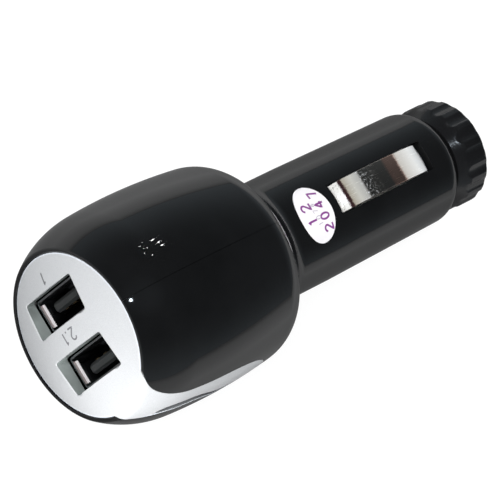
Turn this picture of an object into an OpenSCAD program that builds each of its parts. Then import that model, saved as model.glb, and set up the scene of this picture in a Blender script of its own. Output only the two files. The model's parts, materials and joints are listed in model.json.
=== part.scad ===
// Car USB charger plug, two ports, lying on its side.
// Every piece is built on the plug's own axes: +z runs along the barrel from the face (z = 0)
// to the tip, x runs along the ports' long side, and y runs from port 1 to port 2.
// The place() module then lays the plug down on the head and the cap, as it rests on a table.

/* [Head] */
// Largest radius of the head
head_r = 18.26; // [17.8:0.02:19.5]
// Distance of the largest radius behind the face's edge
head_r_at = 17.6; // [15:0.2:20]
// Length of the head behind the face's edge
head_len = 37.2; // [36.4:0.2:42]
// Radius of the long arc along the head's crown
crown_arc = 120; // [100:5:160]
// Radius of the arc that rounds the head towards the face
front_arc = 19.8; // [19:0.2:22]
// Radius of the arc that rounds the head towards the barrel
rear_arc = 6.7; // [6:0.1:7.2]
// Wall of the black head shells
shell_wall = 1.8; // [1.6:0.1:2.2]
// Gap at the seam between the two head shells
seam_gap = 0.06; // [0.04:0.01:0.12]
// Radius of the rounded edge of the shells round the face
rim_edge = 0.45; // [0.3:0.05:0.6]
// How far that edge stands before the face's edge
rim_proud = 0.33; // [0.1:0.01:0.5]

/* [Silver fascia] */
// How much smaller the silver face's radius is than the head's
face_step = 4.11; // [3.7:0.01:4.5]
// Radius of the face's shallow dome
face_dome = 50; // [46:1:90]
// How far the dome's edge stands before the reference plane
face_lift = 0.1; // [0:0.02:0.2]
// Distance of the fascia's flat back behind the reference plane
face_back = 0.9; // [0.7:0.1:1.6]
// Radius that blends the dome into the side band
blend_r = 1.5; // [1:0.1:2]
// Depth of the skirt behind the face
skirt_len = 2.1; // [1.6:0.1:2.6]
// Wall of the skirt
skirt_wall = 1.2; // [0.9:0.1:1.4]
// Thickness of the side band
band_t = 1.6; // [1.3:0.1:1.7]
// Distance of the band's upper edge from the plug's middle plane
band_half = 6.2; // [5:0.1:7]
// Distance of the band's lower edge from that plane, on the same side
band_low = 1.9; // [1.2:0.1:2.4]
// Length over which the band's upper edge rounds into its end
band_taper = 13.8; // [10:0.2:16]
// Distance between the band's end and the head's rear end
band_stop = 8.4; // [7.8:0.1:10]
// Depth of the leaf-shaped recess in the band
recess_depth = 0.7; // [0.3:0.1:1]
// Width of the recess at its widest
recess_w = 1.5; // [1:0.05:1.7]
// Width of the silver rim between the recess and the band's lower edge
recess_rim = 0.35; // [0.3:0.05:0.6]
// Distance of the recess's front end behind the face
recess_from = 4; // [3.5:0.1:6]
// Distance between the recess's rear end and the band's end
recess_stop = 7.6; // [6:0.1:9]

/* [USB ports] */
// Long side of a port's cut-out in the face
port_long = 14.3; // [13.8:0.1:14.6]
// Short side of a port's cut-out
port_short = 6.3; // [6:0.1:6.6]
// Corner radius of the cut-outs
port_corner = 0.5; // [0.3:0.1:0.8]
// Distance between the centres of the two ports
port_pitch = 10.5; // [10.2:0.1:11.5]
// How far the pair of ports lies to the side of the axis
pair_shift = -0.4; // [-0.6:0.1:0.6]
// Long side of the opening in a steel socket shell
socket_long = 12.5; // [12.3:0.1:12.7]
// Short side of that opening
socket_short = 5.12; // [5:0.02:5.2]
// Sheet thickness of the socket shells
socket_wall = 0.3; // [0.2:0.05:0.4]
// Length of the socket shells
socket_len = 12.6; // [12:0.1:13.4]
// Width of the plastic tongue
tongue_long = 11.1; // [10.8:0.1:11.3]
// Thickness of the plastic tongue
tongue_t = 1.84; // [1.7:0.02:1.9]
// Distance of the tongue's front behind the socket shell's front
tongue_recess = 1.95; // [1.8:0.05:2.4]
// Shift of the tongue away from the circuit board
tongue_shift = 0.53; // [0.4:0.01:0.6]
// Length of the insulator's block behind the tongue
block_len = 3.7; // [3:0.1:4.2]

/* [Barrel] */
// Radius of the barrel's straight stretch
barrel_r = 10.4; // [10.2:0.05:10.5]
// Length of the barrel from the head's rear end to its shoulder at the tip
barrel_len = 45.46; // [45:0.02:49]
// Distance from the head's rear end to the straight stretch
straight_after = 4.8; // [4.4:0.1:5.4]
// Length of the straight stretch
straight_len = 9.8; // [8:0.1:10]
// How much the barrel's radius shrinks towards its rounded lip
barrel_taper = 0.38; // [0.2:0.02:0.6]
// Radius of the rounded lip
lip_r = 3.4; // [2.6:0.1:3.4]
// How far the barrel's collar inside the head's rear opening is thicker than the barrel
collar_step = 0.8; // [0.6:0.05:1.1]
// Radius of the hollow flare between collar and straight stretch
flare_r = 4; // [3:0.5:6]
// Wall of the barrel
barrel_wall = 2.0; // [1.6:0.1:2.2]
// Thickness of the barrel's end wall behind the shoulder
end_wall = 4.6; // [4:0.1:5]
// Depth of the shoulder between the barrel and the threaded neck
shoulder = 3.6; // [3.4:0.05:3.9]
// Length of the threaded neck
neck_len = 3.75; // [3.5:0.05:4.5]
// Wall of the neck
neck_wall = 1.6; // [1.4:0.1:1.7]
// Thickness of the flange that the head shells hold
flange_t = 1.2; // [1:0.1:1.6]

/* [Ground contacts] */
// Width of a spring contact
leaf_w = 5.1; // [4.6:0.1:5.4]
// Sheet thickness of a spring contact
leaf_t = 0.4; // [0.3:0.05:0.5]
// How far the contact's crest stands out of the barrel
crest_proud = 0.55; // [0.4:0.05:0.7]
// Distance of the crest behind the contact's visible start
crest_after = 5.2; // [4.5:0.1:7]
// Radius of the long ramp between the crest and the tip end
ramp_arc = 119; // [100:1:160]
// Radius of the short nose on the head side of the crest
nose_arc = 14.5; // [12:0.5:18]
// Length of the contact's visible part
leaf_len = 21.5; // [19:0.1:21.8]
// Distance between the contact's visible end and the barrel's shoulder
leaf_back = 7.96; // [7.7:0.02:9.5]
// Gap between the contact and the ends of its slot
slot_end_gap = 1.0; // [0.6:0.1:1.2]
// Gap between the contact and the sides of its slot
slot_side_gap = 0.2; // [0.15:0.05:0.3]
// Length of the tabs that reach under the barrel's wall
tab_len = 2.6; // [2:0.1:2.8]

/* [Tip] */
// How much smaller the cap's radius over its ribs is than the barrel's
cap_step = 1; // [0.7:0.05:1.2]
// Number of ribs round the cap
rib_count = 18; // [16:2:20]
// Depth of the grooves between the ribs
groove_depth = 0.35; // [0.2:0.05:0.5]
// Radius of each groove
groove_r = 2.2; // [1.8:0.1:2.6]
// Gap between the barrel's shoulder and the cap
cap_gap = 0.4; // [0.3:0.05:0.8]
// Length of the cap's cone towards the barrel
cap_cone = 2.15; // [1.8:0.05:2.6]
// How much the cap's cone narrows towards the barrel
cone_step = 1.7; // [1.4:0.05:1.9]
// Length of the ribbed rim with its rounded end
cap_rim = 4.2; // [4.1:0.1:5]
// Radius of the rim's rounded end
cap_edge = 0.6; // [0.4:0.05:1]
// Thickness of the insulating washer
washer_t = 0.8; // [0.6:0.1:1]
// Radius of the centre pin
pin_r = 3; // [2.8:0.1:3.2]
// How far the pin stands out of the cap
pin_out = 4.4; // [3.5:0.1:4.8]
// Travel of the centre pin into the cap
pin_travel = 2.2; // [1.8:0.1:2.4]
// Thickness of the pin's flange
pin_flange = 1.5; // [1.2:0.1:2]
// Radius of the fuse
fuse_r = 2.6; // [2.5:0.05:2.65]
// Length of the fuse
fuse_len = 20; // [19.5:0.5:20]
// Length of a fuse cap
fuse_cap_len = 5.2; // [4.8:0.1:5.6]
// Wire of the contact spring
spring_wire = 0.6; // [0.5:0.05:0.7]
// Turns of the contact spring
spring_turns = 6; // [5:1:8]

/* [Circuit board] */
// Thickness of the circuit board
board_t = 1.6; // [1.2:0.1:1.7]
// Distance between the board's long edges and the head's largest radius
board_inset = 4.06; // [3.9:0.02:4.7]
// Where the board starts behind the face
board_from = 5.2; // [5.1:0.1:6]
// Distance between the end of the board's wide part and the head's rear end
board_stop = 6.2; // [5.8:0.1:7.2]
// Gap between the edges of the board's tail and the barrel's bore
tail_gap = 3; // [2.8:0.1:3.8]
// Length of the contact spring
spring_len = 9.6; // [8.6:0.1:10.6]

/* [Hidden] */

$fn = 96;
// Sizes that follow from the ones above
face_r = head_r - face_step;
band_end = head_len - band_stop;
band_round_at = band_end - band_taper;
recess_to = band_end - recess_stop;
straight_from = head_len + straight_after;
straight_to = straight_from + straight_len;
barrel_tip_r = barrel_r - barrel_taper;
barrel_end = head_len + barrel_len;
collar_r = barrel_r + collar_step;
neck_r = barrel_r - shoulder;
crest_r = barrel_r + crest_proud;
leaf_end = barrel_end - leaf_back;
leaf_start = leaf_end - leaf_len;
crest_at = leaf_start + crest_after;
cap_r = barrel_r - cap_step;
cap_hub_r = cap_r - cone_step;
board_half = head_r - board_inset;
board_wide_to = head_len - board_stop;
// Clearances: between fitted pieces that stay put, between pieces that slide, and cutting excess
fit_gap = 0.06;
run_gap = 0.08;
over = 1;

// Point at distance d1 from p and d2 from q, to the left of the way from p to q
function meet(p, d1, q, d2) =
    let (d = norm(q - p), a = (d1 * d1 - d2 * d2 + d * d) / (2 * d), h = sqrt(d1 * d1 - a * a),
         e = (q - p) / d, n = [-e.y, e.x])
    p + a * e + h * n;
function bearing(p, q) = atan2(q.y - p.y, q.x - p.x);
function arc(c, r, from, to, steps) =
    [for (i = [0 : steps]) let (t = from + (to - from) * i / steps) c + r * [cos(t), sin(t)]];

// Outline of the head as [radius, distance behind the face]: rim, front arc, crown and rear arc
rim_c = [face_r + fit_gap + rim_edge, rim_edge - rim_proud];
crown_c = [head_r - crown_arc, head_r_at];
front_c = meet(crown_c, crown_arc - front_arc, rim_c, front_arc - rim_edge);
rear_at = head_len - rear_arc;
rear_c = [crown_c.x + sqrt(pow(crown_arc - rear_arc, 2) - pow(rear_at - head_r_at, 2)), rear_at];
dome_c = [0, sqrt(pow(face_dome, 2) - pow(face_r, 2)) - face_lift];
blend_c = meet(dome_c, face_dome - blend_r, front_c, front_arc - blend_r);

function flank(inset) = concat(
    arc(crown_c, crown_arc - inset, bearing(crown_c, front_c), bearing(crown_c, rear_c), 6),
    arc(rear_c, rear_arc - inset, bearing(crown_c, rear_c), 90, 10));
function black_outline() = concat(
    [[0, rim_c.y]],
    arc(rim_c, rim_edge, -180, bearing(front_c, rim_c), 8),
    arc(front_c, front_arc, bearing(front_c, rim_c), bearing(crown_c, front_c), 10),
    flank(0), [[0, head_len]]);
function silver_outline() = concat(
    arc(dome_c, face_dome, -90, bearing(dome_c, blend_c), 10),
    arc(blend_c, blend_r, bearing(dome_c, blend_c), bearing(front_c, blend_c), 5),
    arc(front_c, front_arc, bearing(front_c, blend_c), bearing(crown_c, front_c), 10),
    flank(0), [[0, head_len]]);
function inner_outline(inset) = concat(
    [[0, front_c.y + (front_arc - inset) * sin(bearing(front_c, rim_c))]],
    arc(front_c, front_arc - inset, bearing(front_c, rim_c), bearing(crown_c, front_c), 10),
    flank(inset), [[0, head_len - inset]]);

// Side band: x of its upper and lower edge at a distance behind the face, flared at the face
rim_top = -rim_proud;
function band_flare(w) = 1.6 * exp(-w / 5) + 1.4 * exp(-w / 0.9);
function band_upper(w) = w < band_round_at ? band_half + band_flare(w)
    : (band_half + band_flare(w)) * sqrt(1 - pow((w - band_round_at) / band_taper, 3));
function low_share(w) = w < band_end - 18 ? 1 : w > band_end - 9 ? 0
    : 0.5 + 0.5 * cos(20 * (w - band_end + 18));
function band_lower(w) = band_low * low_share(w) - 2.9 * exp(-w * w / 16) - 1.4 * exp(-2 * w) + 0.1;
band_stations = concat([rim_top - 0.1], [for (i = [0 : 10]) band_round_at * pow(i / 10, 1.7)],
    [for (i = [1 : 9]) band_round_at + band_taper * sin(10 * i)]);
// Leaf-shaped recess: width for a share s of its length
function recess_width(s) = recess_w * pow(s, 0.25) * pow(1 - s, 0.8) / 0.56;
recess_shares = [0, 0.004, 0.02, 0.06, 0.12, 0.2, 0.32, 0.46, 0.62, 0.8, 0.92, 1];

// Stations along the axis behind the face
skirt_end = face_back + skirt_len;
ledge_from = skirt_end + fit_gap;
ledge_to = ledge_from + 1.3;
socket_front = face_back + fit_gap;
socket_end = socket_front + socket_len;
tongue_front = socket_front + tongue_recess;
block_from = socket_end - block_len / 2;
block_to = block_from + block_len;
flange_gap = 0.1;
flange_to = rear_c.y + (rear_arc - shell_wall) * 0.84;
flange_from = flange_to - flange_t;
flange_r = rear_c.x + (rear_arc - shell_wall) * sin(acos(0.84)) - flange_gap;
holder_to = flange_from - flange_gap;
holder_from = holder_to - 1.2;
holder_r = collar_r + 0.5;
bore_r = barrel_r - barrel_wall;
bore_to = barrel_end - end_wall;
neck_end = barrel_end + neck_len;
neck_bore = neck_r - neck_wall;
washer_from = neck_end + run_gap;
cap_seat = washer_from + washer_t + run_gap;
cap_from = barrel_end + cap_gap;
rim_from = cap_from + cap_cone;
cap_end = rim_from + cap_rim;
pin_end = cap_end + pin_out;
pin_back = neck_end - pin_flange;
fuse_back = pin_back - fuse_len;
sleeve_from = fuse_back - pin_travel - 0.6;
sleeve_to = pin_back - pin_travel - 1.0;
sleeve_bore = fuse_r + 0.2;
seat_t = 1.3;
spring_from = fuse_back - spring_len;
seat_from = spring_from - seat_t;
tail_to = seat_from - 0.02;
tail_half = bore_r - tail_gap;
fuse_wall = 0.3;
glass_wall = 0.4;
board_mid = pair_shift;

// Ground contact: slot ends, and the height of the tabs that reach under the barrel's wall
slot_from = leaf_start - slot_end_gap / 2;
slot_to = leaf_end + slot_end_gap;
tab_r = sqrt(bore_r * bore_r - leaf_w * leaf_w / 4) - 0.1 - leaf_t / 2;
crest_mid = crest_r - leaf_t / 2;
nose_from = leaf_start + 1.8;
nose_turn = asin((crest_at - nose_from) / nose_arc);
ramp_turn = asin((leaf_end - crest_at) / ramp_arc);

// How the plug lies: the rear of the head and two ribs of the cap touch the table
groove_c = cap_r + groove_r - groove_depth;
groove_turn = acos((cap_r * cap_r + groove_c * groove_c - groove_r * groove_r) / (2 * cap_r * groove_c));
foot_c = [cap_r * cos(groove_turn) - cap_edge, cap_end - cap_edge];
foot_span = foot_c - rear_c;
rest_tilt = asin((rear_arc - cap_edge) / norm(foot_span)) - atan2(foot_span.x, foot_span.y);
rest_lift = rear_c.y * sin(rest_tilt) + rear_c.x * cos(rest_tilt) + rear_arc;
reach_back = dome_c.y * cos(rest_tilt) - face_dome;
reach_tip = (pin_end - pin_r) * cos(rest_tilt) + pin_r;
rest_shift = -(reach_back + reach_tip) / 2;

// Lays a piece that is built on the plug's axes down on the table
module place() {
    translate([rest_shift, 0, rest_lift]) rotate([0, rest_tilt - 90, 0]) rotate([180, 0, 0]) children();
}

module lathe(outline) {
    rotate_extrude() polygon(outline);
}

// Ring between two radii and two stations
module ring(r_in, r_out, from, to) {
    translate([0, 0, from]) difference() {
        cylinder(h = to - from, r = r_out);
        translate([0, 0, -over]) cylinder(h = to - from + 2 * over, r = r_in);
    }
}

// Prism of an outline given as [x, z], running along y
module along_y(outline, length) {
    rotate([90, 0, 0]) linear_extrude(height = length, center = true) polygon(outline);
}

module block(from, to) {
    translate(from) cube(to - from);
}

// Tube of a round wire along a path, closed at both ends
module wire(path, r, sides) {
    last = len(path) - 1;
    ahead = [for (i = [0 : last]) path[min(i + 1, last)] - path[max(i - 1, 0)]];
    side_of = [for (d = ahead) let (s = cross(d, [0.13, 0.31, 1])) s / norm(s)];
    up_of = [for (i = [0 : last]) let (u = cross(side_of[i], ahead[i])) u / norm(u)];
    points = [for (i = [0 : last], k = [0 : sides - 1])
        path[i] + r * (cos(360 * k / sides) * side_of[i] + sin(360 * k / sides) * up_of[i])];
    walls = [for (i = [0 : last - 1], k = [0 : sides - 1])
        [i * sides + k, i * sides + (k + 1) % sides, (i + 1) * sides + (k + 1) % sides, (i + 1) * sides + k]];
    first_end = [for (k = [sides - 1 : -1 : 0]) k];
    last_end = [for (k = [0 : sides - 1]) last * sides + k];
    polyhedron(points, concat(walls, [first_end, last_end]));
}

// Keeps what lies on the band's side of the plug
module band_side() {
    intersection() {
        children();
        block([-2 * head_r, 0, -3 * over], [2 * head_r, 2 * head_r, head_len]);
    }
}

module band_prism(gap) {
    upper = [for (w = band_stations) [band_upper(min(w, band_end)) + gap, w]];
    last = len(band_stations) - 1;
    lower = [for (i = [last : -1 : 0]) let (w = band_stations[i]) [band_lower(w) - gap, w]];
    front = rim_top - over;
    band_side()
        along_y(concat([[upper[0].x, front]], upper, [[band_lower(band_end) - gap, band_end + gap]], lower,
            [[lower[last].x, front]]), 4 * head_r);
}

module recess_prism() {
    edges = [for (s = recess_shares) let (w = recess_from + s * (recess_to - recess_from))
        [band_lower(w) + recess_rim, w, recess_width(s)]];
    last = len(edges) - 1;
    far = [for (e = edges) [e.x, e.y]];
    near = [for (i = [last - 1 : -1 : 1]) [edges[i].x + edges[i].z, edges[i].y]];
    band_side() along_y(concat(far, near), 4 * head_r);
}

// Rectangle with round corners, extruded along the axis
module rounded_bar(long, short, corner, from, to) {
    translate([0, 0, from]) linear_extrude(height = to - from) union() {
        square([long - 2 * corner, short], center = true);
        square([long, short - 2 * corner], center = true);
        for (x = [-1, 1], y = [-1, 1])
            translate([x * (long / 2 - corner), y * (short / 2 - corner)]) circle(r = corner, $fn = 32);
    }
}

// Places a piece at port 1 (side -1) or port 2 (side 1), with +y pointing away from the board
module at_port(side) {
    translate([0, pair_shift + side * port_pitch / 2, 0]) mirror([0, side < 0 ? 1 : 0, 0]) children();
}

module fascia() {
    color("silver") difference() {
        union() {
            difference() {
                intersection() {
                    lathe(silver_outline());
                    translate([0, 0, -2 * over]) cylinder(h = skirt_end + 2 * over, r = face_r);
                }
                translate([0, 0, face_back]) cylinder(h = skirt_end, r = face_r - skirt_wall);
            }
            intersection() {
                difference() {
                    lathe(silver_outline());
                    lathe(inner_outline(band_t));
                }
                band_prism(0);
            }
        }
        for (side = [-1, 1])
            at_port(side) rounded_bar(port_long, port_short, port_corner, -3 * over, face_back + over);
        difference() {
            recess_prism();
            lathe(inner_outline(recess_depth));
        }
    }
}

// Both head shells before they are split at the seam
module head_casing() {
    difference() {
        union() {
            difference() {
                lathe(black_outline());
                lathe(inner_outline(shell_wall));
            }
            intersection() {
                lathe(black_outline());
                union() {
                    ring(face_r - skirt_wall, head_r + over, ledge_from, ledge_to);
                    ring(holder_r, head_r + over, holder_from, holder_to);
                    for (side = [-1, 1])
                        block([side > 0 ? board_half - 1.4 : -head_r, board_mid - 2.4, board_from + 3.8],
                              [side > 0 ? head_r : 1.4 - board_half, board_mid + 2.4, board_wide_to - 4]);
                }
            }
        }
        translate([0, 0, -2 * over]) cylinder(h = ledge_from + 2 * over, r = face_r + fit_gap);
        translate([0, 0, flange_to]) cylinder(h = head_len, r = collar_r + fit_gap);
        block([-board_half - fit_gap, board_mid - board_t / 2 - fit_gap, board_from - 1],
              [board_half + fit_gap, board_mid + board_t / 2 + fit_gap, board_wide_to + 0.5]);
        band_prism(fit_gap);
    }
}

module head_shell(side) {
    color([0.05, 0.05, 0.06]) intersection() {
        head_casing();
        block([-2 * head_r, side < 0 ? -2 * head_r : seam_gap / 2, -2 * over],
              [2 * head_r, side < 0 ? -seam_gap / 2 : 2 * head_r, head_len + over]);
    }
}

module barrel() {
    flare_turn = acos(1 - (collar_r - barrel_r) / flare_r);
    flare_c = [barrel_r + flare_r, straight_from];
    lip_c = [barrel_tip_r - lip_r, barrel_end - lip_r];
    outline = concat(
        [[bore_r, flange_from], [flange_r, flange_from], [flange_r, flange_to], [collar_r, flange_to]],
        arc(flare_c, flare_r, 180 + flare_turn, 180, 6),
        [[barrel_r, straight_to]],
        arc(lip_c, lip_r, 0, acos((neck_r - lip_c.x) / lip_r), 8),
        [[neck_r, barrel_end], [neck_r, neck_end], [neck_bore, neck_end], [neck_bore, bore_to], [bore_r, bore_to]]);
    color([0.05, 0.05, 0.06]) difference() {
        lathe(outline);
        for (side = [0, 180])
            rotate([0, 0, side])
                block([barrel_r / 2, -leaf_w / 2 - slot_side_gap, slot_from],
                      [barrel_r + over, leaf_w / 2 + slot_side_gap, slot_to]);
    }
}

module retaining_cap() {
    outline = concat(
        [[neck_r + run_gap, cap_from], [cap_hub_r, cap_from], [cap_r, rim_from]],
        arc([cap_r - cap_edge, cap_end - cap_edge], cap_edge, 0, 90, 5),
        [[pin_r + 0.2, cap_end], [pin_r + 0.2, cap_seat], [neck_r + run_gap, cap_seat]]);
    color([0.07, 0.07, 0.07]) difference() {
        lathe(outline);
        for (i = [0 : rib_count - 1])
            rotate([0, 0, 360 * i / rib_count])
                translate([groove_c, 0, cap_from - over]) cylinder(h = cap_end - cap_from + 2 * over, r = groove_r);
    }
}

module cap_washer() {
    color("peru") ring(pin_r + 0.2, neck_r - 0.1, washer_from, washer_from + washer_t);
}

module tip_pin() {
    stem_end = pin_end - pin_r;
    color("gainsboro") union() {
        translate([0, 0, pin_back]) cylinder(h = pin_flange, r = neck_bore - 0.1);
        translate([0, 0, pin_back]) cylinder(h = stem_end - pin_back, r = pin_r);
        translate([0, 0, stem_end]) sphere(r = pin_r);
    }
}

// Fuse cap: a cup that is open towards the fuse's middle
module fuse_cap(from, flip) {
    translate([0, 0, from]) mirror([0, 0, flip ? 1 : 0]) difference() {
        cylinder(h = fuse_cap_len, r = fuse_r);
        translate([0, 0, fuse_wall]) cylinder(h = fuse_cap_len, r = fuse_r - fuse_wall);
    }
}

module fuse_cap_front() {
    color("silver") fuse_cap(pin_back, true);
}

module fuse_cap_rear() {
    color("silver") fuse_cap(fuse_back, false);
}

module fuse_glass() {
    glass_r = fuse_r - fuse_wall - 0.05;
    color("lightcyan", 0.4) ring(glass_r - glass_wall, glass_r, fuse_back + fuse_wall, pin_back - fuse_wall);
}

module fuse_element() {
    color("silver") translate([0, 0, fuse_back + fuse_wall])
        cylinder(h = fuse_len - 2 * fuse_wall, r = 0.2, $fn = 24);
}

module fuse_sleeve() {
    color([0.85, 0.84, 0.8]) ring(sleeve_bore, neck_bore - 0.05, sleeve_from, sleeve_to);
}

module contact_spring() {
    coil_r = fuse_r - 0.1 - spring_wire / 2;
    steps = 14;
    low = spring_from + spring_wire / 2;
    high = fuse_back - spring_wire / 2;
    path = [for (i = [0 : spring_turns * steps]) let (t = 360 * i / steps)
        [coil_r * cos(t), coil_r * sin(t), low + (high - low) * i / (spring_turns * steps)]];
    color("gainsboro") wire(path, spring_wire / 2, 6);
}

// Brass seat of the spring, with two prongs that clasp the board's tail
module spring_seat() {
    color("goldenrod") union() {
        translate([0, 0, seat_from]) cylinder(h = seat_t, r = fuse_r + 0.2);
        translate([0, 0, seat_from]) cylinder(h = seat_t + 1.2, r = fuse_r - 1.2);
        for (side = [-1, 1])
            translate([-1.3, board_mid + side * (board_t / 2 + 0.25) - 0.25, tail_to - 4])
                cube([2.6, 0.5, 4.5]);
    }
}

// Strip of sheet along a path in [x, z], with mitred bends
function strip_normal(path, i) =
    let (last = len(path) - 1, a = path[i] - path[max(i - 1, 0)], b = path[min(i + 1, last)] - path[i],
         ua = i == 0 ? b / norm(b) : a / norm(a), ub = i == last ? ua : b / norm(b),
         m = ua + ub, t = m / norm(m))
    [t.y, -t.x] / (t * ua);
function strip(path, t) = concat(
    [for (i = [0 : len(path) - 1]) path[i] + strip_normal(path, i) * t / 2],
    [for (i = [len(path) - 1 : -1 : 0]) path[i] - strip_normal(path, i) * t / 2]);

leaf_path = concat(
    [[tab_r, leaf_start - tab_len], [tab_r, leaf_start], [crest_mid - 1.3, leaf_start + 0.25]],
    arc([crest_mid - nose_arc, crest_at], nose_arc, -nose_turn, 0, 5),
    arc([crest_mid - ramp_arc, crest_at], ramp_arc, ramp_turn / 6, ramp_turn, 5),
    [[tab_r, leaf_end + leaf_t], [tab_r, leaf_end + leaf_t + tab_len]]);

module ground_contact(side) {
    color("gainsboro") rotate([0, 0, side > 0 ? 0 : 180]) along_y(strip(leaf_path, leaf_t), leaf_w);
}

// Lead from a pad on the board's tail to the contact's inner tab
module ground_lead(side) {
    lead_r = 0.5;
    out = board_mid + board_t / 2 + lead_r;
    tab_from = leaf_start - tab_len;
    pad = tail_half - 0.9;
    rise = tab_r - pad;
    path = [[pad, out, tab_from - 8.6], [pad + 0.05 * rise, out, tab_from - 6.6],
            [pad + 0.15 * rise, out + 0.1, tab_from - 5], [pad + 0.4 * rise, out - 0.1, tab_from - 3.8],
            [pad + 0.65 * rise, out / 2, tab_from - 2.7], [pad + 0.85 * rise, out / 5, tab_from - 1.8],
            [tab_r, 0, tab_from - 0.8], [tab_r, 0, tab_from - 0.25]];
    color("firebrick") wire([for (p = path) [side * p.x, p.y, p.z]], lead_r, 8);
}

module circuit_board() {
    corner = 2.5;
    half = [[board_half, board_from], [board_half, board_wide_to - corner],
            [board_half - corner, board_wide_to], [tail_half, board_wide_to], [tail_half, tail_to]];
    mirrored = [for (i = [len(half) - 1 : -1 : 0]) [-half[i].x, half[i].y]];
    color("darkgreen") translate([0, board_mid, 0]) along_y(concat(half, mirrored), board_t);
}

// Retaining springs of a socket: bent tongues cut out of both broad faces
tongue_slot = 0.4;
tongue_half = 1.1;
tongue_at = 3.2;
tongue_from = 4.6;
tongue_reach = 5.2;

module usb_shell(side) {
    out_long = socket_long + 2 * socket_wall;
    out_short = socket_short + 2 * socket_wall;
    leg_long = port_pitch / 2 - board_t / 2;
    color("lightgray") at_port(side) union() {
        difference() {
            rounded_bar(out_long, out_short, 0.6, socket_front, socket_end);
            rounded_bar(socket_long, socket_short, 0.3, socket_front - over, socket_end + over);
            for (x = [-tongue_at, tongue_at])
                translate([x, 0, socket_front + tongue_from]) difference() {
                    block([-tongue_half - tongue_slot, -socket_short, 0],
                          [tongue_half + tongue_slot, socket_short, tongue_reach]);
                    block([-tongue_half, -socket_short - over, tongue_slot],
                          [tongue_half, socket_short + over, tongue_reach + over]);
                }
        }
        for (x = [-tongue_at, tongue_at], y = [-1, 1])
            translate([x, y * socket_short / 2, socket_front + tongue_from + tongue_slot + 1])
                intersection() {
                    rotate([0, 90, 0]) cylinder(h = 2 * tongue_half, r = 0.6, center = true, $fn = 32);
                    block([-tongue_half, y < 0 ? -0.1 : -0.6, -1], [tongue_half, y < 0 ? 0.6 : 0.1, 1]);
                }
        for (x = [-1, 1])
            translate([x * (out_long - socket_wall) / 2, 0, 0])
                block([-socket_wall / 2, -leg_long, board_from + 2], [socket_wall / 2, 0, board_from + 4.5]);
    }
}

module usb_insulator(side) {
    foot = port_pitch / 2 - board_t / 2;
    room = 0.05;
    half = tongue_t / 2;
    nose = 0.45;
    profile = [[tongue_front + nose, -half], [tongue_front, -half + nose], [tongue_front, half - nose],
               [tongue_front + nose, half], [block_from + 0.5, half], [block_from + 0.5, -half]];
    color([0.06, 0.06, 0.06]) at_port(side) union() {
        translate([0, tongue_shift, 0]) rotate([0, -90, 0])
            linear_extrude(height = tongue_long, center = true) polygon(profile);
        block([-socket_long / 2 + room, -socket_short / 2 + room, block_from],
              [socket_long / 2 - room, socket_short / 2 - room, block_to]);
        block([-socket_long / 2 + room, -foot, socket_end + room],
              [socket_long / 2 - room, 0, block_to]);
    }
}

// Four contact strips under the tongue and their tails on the board
module usb_contacts(side) {
    foot = port_pitch / 2 - board_t / 2;
    strip_t = 0.2;
    under = tongue_shift - tongue_t / 2;
    color("gold") at_port(side)
        for (x = [-3.5, -1, 1, 3.5]) {
            block([x - 0.5, under - strip_t, tongue_front + 0.6], [x + 0.5, under, block_from]);
            block([x - 0.35, -foot, block_to], [x + 0.35, -foot + 2.2, block_to + strip_t]);
            block([x - 0.35, -foot, block_to], [x + 0.35, -foot + strip_t, block_to + 1.4]);
        }
}

// Places a piece on the board at x and z, with +z pointing away from the board
module on_board(side, x, z) {
    translate([x, board_mid + side * board_t / 2, z]) rotate([side > 0 ? -90 : 90, 0, 0]) children();
}

// Room for the parts behind the sockets: length along the board, and height above it at x
bay_len = board_wide_to - block_to;
bay_mid = block_to + 0.52 * bay_len;
bay_r = head_r - shell_wall - 0.6;
function bay_height(x) = sqrt(max(1, bay_r * bay_r - x * x)) - abs(board_mid) - board_t / 2;
drum_r = 0.295 * bay_len;
drum_at = 0.465 * board_half;
drum_h = 0.62 * bay_height(drum_at + drum_r);
drum_core = 0.43 * drum_r;
drum_cheek = 0.2 * drum_h;
input_r = 0.256 * bay_len;
input_at = -0.437 * board_half;
input_h = 0.97 * bay_height(abs(input_at) + input_r);
output_r = 0.2 * bay_len;
output_at = 0.45 * board_half;
output_h = 0.75 * bay_height(output_at + output_r);
chip_at = -0.394 * board_half;

module inductor_core() {
    color([0.22, 0.22, 0.23]) on_board(1, drum_at, bay_mid) rotate_extrude()
        polygon([[0, 0], [drum_r, 0], [drum_r, drum_cheek], [drum_core, drum_cheek],
                 [drum_core, drum_h - drum_cheek], [drum_r, drum_h - drum_cheek], [drum_r, drum_h], [0, drum_h]]);
}

module inductor_winding() {
    color("chocolate") on_board(1, drum_at, bay_mid)
        ring(drum_core + fit_gap, 0.89 * drum_r, drum_cheek + fit_gap, drum_h - drum_cheek - fit_gap);
}

// Electrolytic capacitor: a can with a rolled groove above its base
module can_capacitor(r, h) {
    edge = 0.09 * r;
    rotate_extrude() polygon([[0, 0], [r - edge, 0], [r, edge], [r, 4 * edge], [r - edge, 5 * edge], [r, 6 * edge],
                              [r, h - edge], [r - edge, h], [0, h]]);
}

module input_capacitor() {
    color("midnightblue") on_board(1, input_at, bay_mid) can_capacitor(input_r, input_h);
}

module output_capacitor() {
    color("midnightblue") on_board(-1, output_at, bay_mid) can_capacitor(output_r, output_h);
}

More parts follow.
